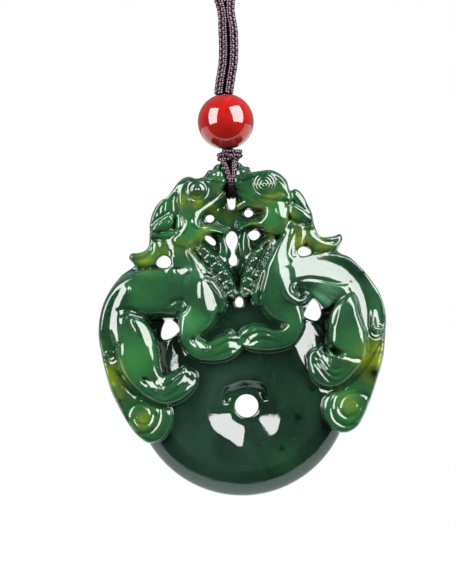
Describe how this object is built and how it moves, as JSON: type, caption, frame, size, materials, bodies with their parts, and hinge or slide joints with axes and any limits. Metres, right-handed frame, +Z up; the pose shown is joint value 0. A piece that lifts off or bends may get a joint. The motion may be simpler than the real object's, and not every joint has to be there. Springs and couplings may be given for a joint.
{
  "type": "carved jade pendant on a cord",
  "caption": "Pierced jade carving of two beasts climbing over a disc with a hole, hung by a cord through a slot, with a red bead and a cord loop above it.",
  "frame": {"origin": "inside top of the cord's loop, where the pendant hangs from a hook or a neck cord", "axes": "+Z up, the carved front faces -Y, +X to the right as seen from the front"},
  "size_m": [0.0518, 0.0117, 0.1136],
  "materials": {
    "jade": "polished, deep green with yellow-green patches and dark specks",
    "red_stone": "polished red",
    "braid": "dark purple-brown braided cord with a sheen"
  },
  "bodies": {
    "root": {"jade_carving": "jade", "red_bead": "red_stone", "wrap_knot": "braid", "tie_cord": "braid", "hanging_cord": "braid"}
  },
  "joints": []
}
